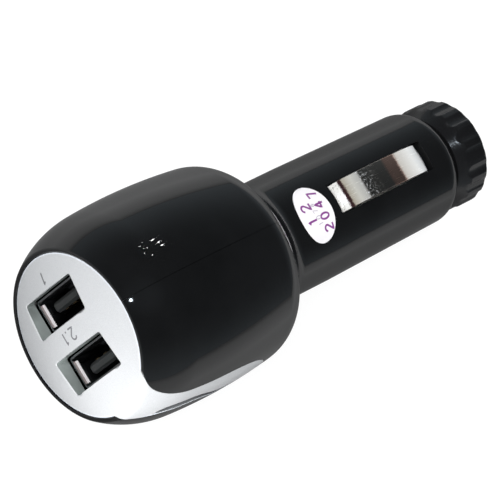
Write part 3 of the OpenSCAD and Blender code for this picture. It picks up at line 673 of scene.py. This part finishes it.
def fascia():
    """The face with its side band, the two cut-outs for the sockets and the recess."""
    outer = [p for p in silver.points() if p[1] < 30]
    inside = [p for p in inner(FACE_WALL).points() if 3.2 < p[1] < 29.9]
    skirt = [(15.02, SKIRT_END), (SKIRT_R, SKIRT_END), (SKIRT_R, FACE_BACK), (0, FACE_BACK)]
    chain = outer + inside[::-1] + skirt
    chain[0] = (0, chain[0][1])
    obj = spin("silver_fascia", chain)
    keep = spin("keep", [(0, -4), (FACE_R, -4), (FACE_R, SKIRT_END + 0.02), (0, SKIRT_END + 0.02)])
    carve(keep, prism("band", band_outline(0), 0, 30, "v"), "UNION")
    carve(obj, keep, "INTERSECT")
    for v in PORT_V:
        opening = [(a, b + v) for a, b in rounded(PORT_LONG, PORT_SHORT, PORT_CORNER)]
        carve(obj, prism("port", opening, -4, 2, "w"))
        carve(obj, chamfer(v, 0.11))
    core = [p for p in recess_floor.points() if p[1] < 33]
    recess = prism("recess", recess_outline(), 0, 30, "v")
    carve(recess, spin("core", [(0, core[0][1])] + core + [(0, core[-1][1])]))
    carve(obj, recess)
    return settle(obj, [silver, recess_floor])


face = piece(fascia(), LOOK["silver_paint"], "plug", ["fascia"])
# The cut-outs' walls and the recess floor are darker glossy plastic: painted shade. The face's outer edge
# and the strip below the recess are brighter: a painted highlight.
PAINT, PAINTED_SHADE_WALL, PAINTED_HIGHLIGHT_RIM, PAINTED_SHADE_HOLLOW = range(4)
for name, colour, rough, shift, metallic in (("silver_wall_look", (0.36, 0.40, 0.39), 0.2, 0.35, 0.5),
                                             ("silver_rim_look", (0.80, 0.84, 0.90), 0.22, 0.04, 0.2),
                                             ("silver_recess_look", (0.36, 0.37, 0.38), 0.2, 0.2, 0.6)):
    look = plastic(name, colour, rough, shift)
    look.node_tree.nodes["Principled BSDF"].inputs["Metallic"].default_value = metallic
    face.data.materials.append(look)
back = PLACE.inverted()


def deep(c):
    """Whether a point lies on the floor of the recess."""
    return recess_floor.normals(np.array([math.hypot(c.x, c.y)]), np.array([c.z]))[0][0] < 0.03


def paint_or_painted_light_of(corners, across):
    """Slot of a polygon of the face, from its corners and whether it stands across the plug's axis: the
    paint, the painted shade of the cut-out walls and the recess floor, or the painted highlight of the rim.
    """
    u, v, w = (sum(c[k] for c in corners) / len(corners) for k in range(3))
    if across and abs(u) < 7.3 and abs(v - PAIR) < PITCH / 2 + 3.3 and w < FACE_BACK:
        return PAINTED_SHADE_WALL
    if v > 8 and 3.9 < w < 21.3 and any(deep(c) for c in corners):
        return PAINTED_SHADE_HOLLOW
    if v > 8 and 2.5 < w < 21.3 and u < band_lower(w) + RECESS_UP and math.hypot(u, v) > 16:
        return PAINTED_HIGHLIGHT_RIM
    band_joins = v > 0 and -2.6 < u < 9.4
    if min(math.hypot(c.x, c.y) for c in corners) > FACE_R - 0.40 and w < 0.4 and not band_joins:
        return PAINTED_HIGHLIGHT_RIM
    return PAINT


for p in face.data.polygons:
    across = abs((TURN.transposed() @ p.normal).z) < 0.3
    p.material_index = paint_or_painted_light_of([back @ face.data.vertices[i].co for i in p.vertices], across)

# Lips inside the short sides of the sockets: a dark edge of painted shade and a bright stretch of painted
# highlight behind it
edge = plastic("steel_edge_painted_shade_look", (0.30, 0.25, 0.25), 0.4, 0.1)
polish = plastic("steel_painted_highlight_look", (0.80, 0.77, 0.78), 0.35, 0.04)
LIP_OUT, LIP_IN, LIP_HALF = 6.26, 6.21, 2.05
for i, v in enumerate(PORT_V):
    for side, way in ((-1, "low"), (1, "high")):
        box = [(side * LIP_OUT, v - LIP_HALF), (side * LIP_IN, v - LIP_HALF),
               (side * LIP_IN, v + LIP_HALF), (side * LIP_OUT, v + LIP_HALF)]
        for kind, look, low, high in (("edge", edge, 1.02, 1.38), ("polish", polish, 1.38, 1.95)):
            piece(settle(prism(f"usb_lip_{kind}_{i + 1}_{way}", box, low, high, "w")), look, "plug")

# Barrel
BARREL_R, BARREL_TIP_R, COLLAR_R, BARREL_END = 10.4, 10.02, 11.2, 82.66
FLARE_R, FLARE_END, ROUNDING = 4, 42, 3.4
STRAIGHT_TO, BORE_END = 51.8, 78.06
BORE_R, NECK_R, NECK_BORE_R, NECK_LEN = 8.4, 6.8, 5.2, 3.75
SLOT_FROM, SLOT_TO, SLOT_HALF = 52.7, 75.7, 2.75
FLANGE_R, FLANGE_FROM, FLANGE_TO = 13.38, 33.42, 34.6
flare_turn = math.degrees(math.acos(1 - (COLLAR_R - BARREL_R) / FLARE_R))
skin = Outline()
skin.line((COLLAR_R, FLANGE_TO), (COLLAR_R, FLARE_END - FLARE_R * math.sin(math.radians(flare_turn))))
skin.arc((BARREL_R + FLARE_R, FLARE_END), FLARE_R, 180 + flare_turn, 180, 14, -1)
skin.line((BARREL_R, FLARE_END), (BARREL_R, STRAIGHT_TO))
skin.line((BARREL_R, STRAIGHT_TO), (BARREL_TIP_R, BARREL_END - ROUNDING), steps=8)
lip_c = (BARREL_TIP_R - ROUNDING, BARREL_END - ROUNDING)
skin.arc(lip_c, ROUNDING, 0, math.degrees(math.acos((NECK_R - lip_c[0]) / ROUNDING)), 20)


def barrel():
    """Barrel with its flange in the head, its neck under the cap and a slot for each side contact."""
    chain = [(BORE_R, FLANGE_FROM), (FLANGE_R, FLANGE_FROM), (FLANGE_R, FLANGE_TO)] + skin.points()
    chain += [(NECK_R, BARREL_END), (NECK_R, BARREL_END + NECK_LEN), (NECK_BORE_R, BARREL_END + NECK_LEN),
              (NECK_BORE_R, BORE_END), (BORE_R, BORE_END)]
    obj = spin("barrel_gloss", chain)
    for side in (1, -1):
        box = [(side * 5, SLOT_FROM), (side * 12, SLOT_FROM), (side * 12, SLOT_TO), (side * 5, SLOT_TO)]
        carve(obj, prism("slot", box, -SLOT_HALF, SLOT_HALF, "v"))
    return settle(obj, [skin])


piece(barrel(), LOOK["gloss_black"], "plug", ["barrel"])

# Ribbed cap
RIBS, CAP_R, GROOVE_R = 18, 9.4, 2.2
GROOVE_C = CAP_R + GROOVE_R - 0.35
CAP_BORE_R, CAP_HOLE_R, CAP_FLOOR = 6.88, 3.2, 87.37
CAP_FROM = BARREL_END + 0.4
CAP_END = CAP_FROM + 2.15 + 4.2


def groove(angle):
    """Distance from the axis to the round groove between two ribs, along that angle."""
    step = 2 * math.pi / RIBS
    a = (angle + step / 2) % step - step / 2
    inside = GROOVE_R ** 2 - (GROOVE_C * math.sin(a)) ** 2
    return GROOVE_C * math.cos(a) - math.sqrt(inside) if inside > 0 else 1e3


def soft_min(a, b, k):
    """The lesser of two radii, with the corner where they meet rounded over k."""
    if b > 100:
        return a
    h = max(k - abs(a - b), 0) / k
    return min(a, b) - h * h * k / 4


def cap():
    """Cap with round grooves cut into its outer side, which leave the ribs between them."""
    o = Outline()
    o.arc((7.9, CAP_FROM + 0.25), 0.25, -90, -45, 4)
    o.line((8.08, CAP_FROM + 0.07), (9.15, CAP_FROM + 1.6), steps=6)
    o.arc((8.7, CAP_FROM + 2.3), 0.7, -35, 0, 6)
    o.line((CAP_R, CAP_FROM + 2.3), (CAP_R, CAP_END - 0.6), steps=6)
    o.arc((CAP_R - 0.6, CAP_END - 0.6), 0.6, 0, 90, 8)
    rim = o.points()
    chain = [(CAP_BORE_R, CAP_FROM)] + rim + [(CAP_HOLE_R + 0.25, CAP_END), (CAP_HOLE_R, CAP_END - 0.2)]
    chain += [(CAP_HOLE_R, CAP_FLOOR), (CAP_BORE_R, CAP_FLOOR)]
    columns = RIBS * 24
    verts, faces = [], []
    for r, w in chain:
        for i in range(columns):
            a = 2 * math.pi * i / columns
            q = soft_min(r, groove(a), 0.10) if r > 8.2 else r
            verts.append((q * math.cos(a), q * math.sin(a), w))
    n = len(chain)
    for k in range(n):
        for i in range(columns):
            j = (i + 1) % columns
            low, high = k * columns, (k + 1) % n * columns
            faces.append((low + i, low + j, high + j, high + i))
    return settle(turn_outward(new_object("retaining_cap_ribbed", verts, faces)), sharp=50)


piece(cap(), LOOK["cap_black"], "cap", ["retaining_cap"])

# Spring contacts
LEAF_W, LEAF_HALF_T, LEAF_EDGE = 5.1, 0.2, 0.12
TAB_R = math.sqrt(BORE_R ** 2 - LEAF_W ** 2 / 4) - 0.1 - LEAF_HALF_T
CREST, CREST_AT = BARREL_R + 0.55 - LEAF_HALF_T, 58.4
# Radii of the rise and the fall, and where they start and end
NOSE, RAMP, RISE_FROM, FALL_TO = 14.5, 119.0, 55.0, 74.7


def rounded_corner(path, radius, steps=5):
    """Rounds the bends of a path of (height, w) points."""
    out = [path[0]]
    for a, b, c in zip(path, path[1:], path[2:]):
        a, b, c = (np.array(x, float) for x in (a, b, c))
        la, lc = np.linalg.norm(a - b), np.linalg.norm(c - b)
        r = min(radius, la * 0.45, lc * 0.45)
        p, q = b + (a - b) / la * r, b + (c - b) / lc * r
        for i in range(steps + 1):
            s = i / steps
            out.append(tuple((1 - s) ** 2 * p + 2 * s * (1 - s) * b + s * s * q))
    return out + [path[-1]]


def spring_contact(name, side):
    """Sheet that rises from an inner tab through the slot, crests, falls slowly and dips to its tail tab."""
    nose_turn = math.degrees(math.asin((CREST_AT - RISE_FROM) / NOSE))
    ramp_turn = math.degrees(math.asin((FALL_TO - CREST_AT) / RAMP))
    low = [(TAB_R, 50.6), (TAB_R, 53.2), (CREST - 1.3, 53.45)]
    rise = [(CREST - NOSE + NOSE * math.cos(math.radians(a)), CREST_AT + NOSE * math.sin(math.radians(a)))
            for a in np.linspace(-nose_turn, 0, 14)]
    fall = [(CREST - RAMP + RAMP * math.cos(math.radians(a)), CREST_AT + RAMP * math.sin(math.radians(a)))
            for a in np.linspace(0, ramp_turn, 30)][1:]
    fall = [(h - max(w - 69.5, 0) ** 2 / 44, w) for h, w in fall]
    tail = [(TAB_R, 75.1), (TAB_R, 77.7)]
    front = rounded_corner(low + rise[:2], 0.5)
    back = rounded_corner(fall[-2:] + tail, 0.5)
    path = front[:-1] + rise[1:] + fall[:-2] + back
    section = rounded(LEAF_W, 2 * LEAF_HALF_T, LEAF_EDGE, 3)
    points = [(side * h, 0, w) for h, w in path]
    return settle(sweep(name, points, (0, 1, 0), section), sharp=50)


for where, side in (("top", 1), ("bottom", -1)):
    piece(spring_contact(f"ground_contact_{where}_plated", side), LOOK["nickel_spring"], f"contact_{where}",
          [f"ground_contact_{where}"])

# Centre pin
PIN_R, PIN_BACK, PIN_HEAD_R, PIN_OUT, PIN_TRAVEL = 3, 84.91, 5.1, 4.4, 2.2
pin_end = CAP_END + PIN_OUT
pin_skin = Outline()
pin_skin.line((PIN_R, PIN_BACK + 1.5), (PIN_R, pin_end - PIN_R), steps=4)
pin_skin.arc((0, pin_end - PIN_R), PIN_R, 0, 90, 20)
pin_chain = [(0, PIN_BACK), (5.0, PIN_BACK), (PIN_HEAD_R, 85.0), (PIN_HEAD_R, 86.31), (5.0, PIN_BACK + 1.5)]
pin_chain += pin_skin.points()
pin_chain[-1] = (0, pin_end)
pin = settle(spin("tip_pin_turned", pin_chain, 128), [pin_skin])
piece(pin, LOOK["nickel"], "pin", ["tip_pin"])


# The coil spring behind the fuse, built at one length; the real one shortens as the pin is pressed
SPRING_FROM, SPRING_LEN, COIL_R, WIRE_R, TURNS = 55.31, 9.6, 2.2, 0.3, 6


def coil():
    """Round wire along a helix, as rings of points with a cap at each end."""
    steps, sides = 40, 10
    rise = SPRING_LEN - 2 * WIRE_R
    rings = TURNS * steps + 1
    verts, faces = [], []
    for i in range(rings):
        a = 2 * math.pi * i / steps
        out = np.array([math.cos(a), math.sin(a), 0])
        along = np.array([-math.sin(a), math.cos(a), rise / (TURNS * 2 * math.pi * COIL_R)])
        up = np.cross(out, along / np.linalg.norm(along))
        centre = COIL_R * out + np.array([0, 0, SPRING_FROM + WIRE_R + rise * i / (TURNS * steps)])
        for k in range(sides):
            b = 2 * math.pi * k / sides
            verts.append(centre + WIRE_R * (math.cos(b) * out + math.sin(b) * up))
    for i in range(rings - 1):
        for k in range(sides):
            j = (k + 1) % sides
            faces.append((i * sides + k, i * sides + j, (i + 1) * sides + j, (i + 1) * sides + k))
    faces += [tuple(range(sides))[::-1], tuple((rings - 1) * sides + k for k in range(sides))]
    return settle(turn_outward(new_object("contact_spring_coil", verts, faces)), sharp=50)


spring = piece(coil(), LOOK["tin_steel"], "plug", ["contact_spring"])
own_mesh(spring)


# Numerals on the face
def on_dome(u, v, lift):
    """Point at u, v on the face's dome, lifted off it."""
    r2 = u * u + v * v
    n = math.sqrt(DOME ** 2 - r2)
    k = (DOME + lift) / DOME
    return (u * k, v * k, dome_c[1] - n * k)


def on_barrel(s, w, lift):
    """Point at arc length s from the top line, at w, lifted off the straight barrel."""
    a = s / BARREL_R
    return ((BARREL_R + lift) * math.cos(a), (BARREL_R + lift) * math.sin(a), w)


def stroke(name, paths, width, surface, low, high, step=0.25):
    """Flat printed strokes along 2D paths, laid on a surface."""
    verts, faces = [], []
    for path in paths:
        fine = [np.array(path[0], float)]
        for a, b in zip(path, path[1:]):
            a, b = np.array(a, float), np.array(b, float)
            k = max(1, int(np.linalg.norm(b - a) / step))
            fine += [a + (b - a) * i / k for i in range(1, k + 1)]
        base = len(verts)
        for i, p in enumerate(fine):
            d = fine[min(i + 1, len(fine) - 1)] - fine[max(i - 1, 0)]
            d /= np.linalg.norm(d)
            side = np.array([-d[1], d[0]]) * width / 2
            for q, h in ((p + side, high), (p - side, high), (p - side, low), (p + side, low)):
                verts.append(surface(q[0], q[1], h))
        m = len(fine)
        for i in range(m - 1):
            b = base + 4 * i
            for k in range(4):
                j = (k + 1) % 4
                faces.append((b + k, b + j, b + 4 + j, b + 4 + k))
        last = base + 4 * (m - 1)
        faces.append((base, base + 1, base + 2, base + 3))
        faces.append((last + 3, last + 2, last + 1, last))
    return settle(turn_outward(new_object(name, verts, faces)), sharp=40)


def numeral(name, shape, u, v):
    """The numeral's up is +v and it reads towards -u."""
    paths = [[(u - x * NUMERAL_SIZE, v + y * NUMERAL_SIZE) for x, y in path] for path in shape]
    return stroke(name, paths, 0.28, on_dome, -0.02, 0.02)


# Digits as paths, one unit high and centred on their place
NUMERAL_SIZE = 2.0
ONE = [[(-0.16, 0.30), (0.03, 0.5), (0.03, -0.5)]]
bow = [(0.29 * math.cos(math.radians(a)), 0.22 + 0.28 * math.sin(math.radians(a)))
       for a in range(170, -50, -20)]
TWO = [bow + [(-0.30, -0.5), (0.32, -0.5)]]
ZERO = [[(0.27 * math.cos(math.radians(a)), 0.5 * math.sin(math.radians(a))) for a in range(0, 361, 20)]]
FOUR = [[(0.14, -0.5), (0.14, 0.5), (-0.30, -0.18), (0.32, -0.18)]]
SEVEN = [[(-0.28, 0.5), (0.28, 0.5), (-0.06, -0.5)]]
DOT = [[(-0.07, -0.47), (0.07, -0.47)]]
ink = plastic("grey_ink_look", (0.16, 0.16, 0.17), 0.5, 0.1)
for name, shape, u, v in (("one", ONE, 0.80, -10.63), ("two", TWO, 1.66, -0.48),
                          ("two_point", DOT, 0.20, -0.38), ("two_tenth", ONE, -0.74, -0.41)):
    piece(numeral(f"numeral_{name}", shape, u, v), ink, "plug")

# Sticker on the barrel
STICK_W, STICK_S, HALF_W, HALF_S = 47.35, 0.72, 3.62, 5.2


def sticker():
    """Oval patch on the barrel with a thin edge that ends below the barrel's surface."""
    rings, columns = 14, 96
    verts = [on_barrel(STICK_S, STICK_W, 0.07)]
    faces = []
    levels = [(i / rings, 0.07) for i in range(1, rings + 1)] + [(1.004, 0.05), (1.006, -0.03)]
    for k, h in levels:
        for i in range(columns):
            a = 2 * math.pi * i / columns
            s, w = STICK_S + HALF_S * k * math.sin(a), STICK_W + HALF_W * k * math.cos(a)
            verts.append(on_barrel(s, w, h))
    for i in range(columns):
        j = (i + 1) % columns
        faces.append((0, 1 + i, 1 + j))
        for k in range(len(levels) - 1):
            b = 1 + k * columns
            faces.append((b + i, b + columns + i, b + columns + j, b + j))
    last = 1 + (len(levels) - 1) * columns
    faces.append(tuple(last + i for i in range(columns))[::-1])
    return settle(turn_outward(new_object("sticker_oval", verts, faces)), sharp=45)


vinyl = plastic("sticker_white_look", (0.82, 0.80, 0.82), 0.38, 0.03, 0.15)
violet = plastic("violet_ink_look", (0.20, 0.035, 0.22), 0.45, 0.15)
piece(sticker(), vinyl, "plug")


def printed(digits, starts, w, size):
    """Paths of digits in a row on the barrel. They read towards -s and their up is -w."""
    return [[(s - x * size, w - y * size) for x, y in path]
            for digit, s in zip(digits, starts) for path in digit]


rows = printed([ONE, TWO], (1.75, -0.75), STICK_W - 1.45, 1.9)
rows += printed([TWO, ZERO, FOUR, SEVEN], (3.75, 1.7, -0.35, -2.4), STICK_W + 1.45, 1.8)
piece(stroke("sticker_print", rows, 0.34, on_barrel, 0.03, 0.085), violet, "plug")
faint = plastic("pale_ink_look", (0.42, 0.38, 0.45), 0.45, 0.1)
fine = printed([ONE, ZERO, SEVEN, FOUR], (2.6, 1.5, 0.4, -0.7), STICK_W + 0.05, 0.95)
piece(stroke("sticker_fine_print", fine, 0.13, on_barrel, 0.03, 0.085), faint, "plug")

# Floor, light and camera
floor_mesh = bpy.data.meshes.new("floor")
bm = bmesh.new()
bmesh.ops.create_grid(bm, x_segments=8, y_segments=8, size=1.5)
bm.to_mesh(floor_mesh)
bm.free()
floor = bpy.data.objects.new("floor", floor_mesh)
bpy.context.scene.collection.objects.link(floor)


def floor_white():
    """White floor that keeps the part's shadow, with painted shade near the part: its colour is darker
    there, and its glow in the gloss is lower there, a painted shadow in the part's reflections. Its glow
    shows to the camera, and less in the gloss.
    """
    m, t, s = tree_of("floor_white")
    around = node(t, "ShaderNodeVectorMath", operation="LENGTH")
    t.links.new(coordinates(t, (0.35, 1, 1)), around.inputs[0])
    reach = spread(t, around.outputs["Value"], 0.0, 0.6, 0.0, 1.0)

    def by_distance(values):
        places = (0.02, 0.07, 0.25, 0.60)
        return bands(t, reach, [(d / 0.6, (value,) * 3) for d, value in zip(places, values)])

    # Darker close to the part: painted shade
    t.links.new(by_distance((0.14, 0.44, 0.40, 0.18)), s.inputs["Base Color"])
    s.inputs["Roughness"].default_value = 0.9
    s.inputs["Specular IOR Level"].default_value = 0.1
    path = node(t, "ShaderNodeLightPath")
    direct = maths(t, "MAXIMUM", path.outputs["Is Camera Ray"], path.outputs["Is Transmission Ray"])
    seen = maths(t, "MULTIPLY", direct, by_distance((0.92, 0.72, 0.74, 0.90)))
    # The glow in the gloss is low close to the part: a painted shadow in its reflections
    gloss_glow_painted_shadow = maths(t, "MULTIPLY", path.outputs["Is Glossy Ray"], by_distance((0.03, 0.08, 0.12, 0.20)))
    glow = node(t, "ShaderNodeEmission", Color=(1, 1, 1, 1))
    t.links.new(maths(t, "MAXIMUM", seen, gloss_glow_painted_shadow), glow.inputs["Strength"])
    add = node(t, "ShaderNodeAddShader")
    t.links.new(s.outputs[0], add.inputs[0])
    t.links.new(glow.outputs[0], add.inputs[1])
    t.links.new(add.outputs[0], t.nodes["Material Output"].inputs["Surface"])
    return m


floor_mesh.materials.append(floor_white())


def light_world():
    """Bluish sky that darkens upwards, and sooner on the side that the camera looks from."""
    world = bpy.data.worlds.new("studio")
    bpy.context.scene.world = world
    world.use_nodes = True
    t = world.node_tree
    c = node(t, "ShaderNodeTexCoord")
    sep = node(t, "ShaderNodeSeparateXYZ")
    t.links.new(c.outputs["Generated"], sep.inputs["Vector"])
    toward = node(t, "ShaderNodeVectorMath", operation="DOT_PRODUCT")
    toward.inputs[1].default_value = (math.cos(math.radians(-26)), math.sin(math.radians(-26)), 0)
    t.links.new(c.outputs["Generated"], toward.inputs[0])
    dim = spread(t, toward.outputs["Value"], 0.62, 0.97, 0.0, 0.27)
    height = maths(t, "ADD", sep.outputs["Z"], dim)
    tint = (0.86, 0.98, 1.06)
    stops = [(0.0, 0.36), (0.12, 0.32), (0.24, 0.26), (0.36, 0.195), (0.48, 0.135), (0.60, 0.085),
             (0.72, 0.06), (0.92, 0.07), (1.0, 0.15)]
    shades = bands(t, height, [(z, tuple(value * c for c in tint)) for z, value in stops])
    t.links.new(shades, t.nodes["Background"].inputs["Color"])
    t.nodes["Background"].inputs["Strength"].default_value = 1.0


light_world()
middle = at(0, 0, 40)


def lamp_at(name, place, target, size, power, colour=(1, 1, 1)):
    """A disk lamp at a place, turned towards a target."""
    data = bpy.data.lights.new(name, "AREA")
    data.shape = "DISK"
    data.size = size
    data.energy = power
    data.color = colour
    obj = bpy.data.objects.new(name, data)
    obj.location = place
    obj.rotation_euler = (target - place).to_track_quat("-Z", "Y").to_euler()
    bpy.context.scene.collection.objects.link(obj)
    return obj


def lamp(name, azimuth, elevation, distance, size, power, colour=(1, 1, 1)):
    """A disk lamp that looks at the part, at that azimuth from +X, elevation and distance."""
    a, e = math.radians(azimuth), math.radians(elevation)
    way = Vector((math.cos(e) * math.cos(a), math.cos(e) * math.sin(a), math.sin(e)))
    return lamp_at(name, middle + way * distance, middle, size, power, colour)


# Soft lamps that light the paint and the floor but don't show in the gloss
SOFT_AT = 1.1
for name, azimuth, elevation, size, power in (("key", 172, 56, 0.5, 12.5), ("fill", -105, 30, 0.9, 7.2),
                                              ("back", 40, 38, 0.7, 4.6)):
    lamp(name, azimuth, elevation, SOFT_AT, size, power).visible_glossy = False
# A small lamp close to the face's lower right, where the band starts
near = lamp_at("near", at(-7, 35, -31), at(-1, 11, 0), 0.02, 0.0040)
near.data.spread = math.radians(80)
near.visible_glossy = near.visible_camera = False
# Small lamps that show only as glints in the gloss
lamp("glint", 171.96, 76.29, 1.1285, 0.06, 0.6, (0.80, 0.90, 1.0)).visible_diffuse = False
ceiling = ((58.12, 38.68, 1.1041), (54.72, 34.69, 1.1017), (54.53, 41.34, 1.1038), (50.69, 39.75, 1.1019),
           (54.64, 46.58, 1.1056), (47.50, 31.60, 1.0985), (44.06, 35.00, 1.0988), (40.93, 37.93, 1.0991),
           (44.89, 47.35, 1.1031))
for i, (azimuth, elevation, distance) in enumerate(ceiling):
    lamp(f"spark_{i}", azimuth, elevation, distance, 0.008, 0.020).visible_diffuse = False

# The camera looks down on the part from the side of the face. VIEW has its right, down and forward
# directions and EYE its place, both on the plug's own axes. FOCAL is the focal length in pixels of
# the photo, which is 2 * HALF_PIXELS wide.
VIEW = (Vector((0.51286, 0.51025, 0.69038)), Vector((-0.38685, 0.85528, -0.34475)),
        Vector((-0.76637, -0.09026, 0.63603)))
EYE = (534.72, 63.02, -404.04)
FOCAL, HALF_PIXELS, HALF_SENSOR = 4200, 250, 18
right, down, ahead = (TURN @ v for v in VIEW)
cam_data = bpy.data.cameras.new("camera")
cam_data.sensor_fit = "HORIZONTAL"
cam_data.sensor_width = 2 * HALF_SENSOR
cam_data.lens = HALF_SENSOR * FOCAL / HALF_PIXELS
cam_data.clip_start = 0.01
cam = bpy.data.objects.new("camera", cam_data)
turn = Matrix((right, -down, -ahead)).transposed().to_4x4()
cam.matrix_world = Matrix.Translation(at(*EYE)) @ turn
bpy.context.scene.collection.objects.link(cam)
bpy.context.scene.camera = cam

bpy.context.scene.view_settings.view_transform = "Standard"
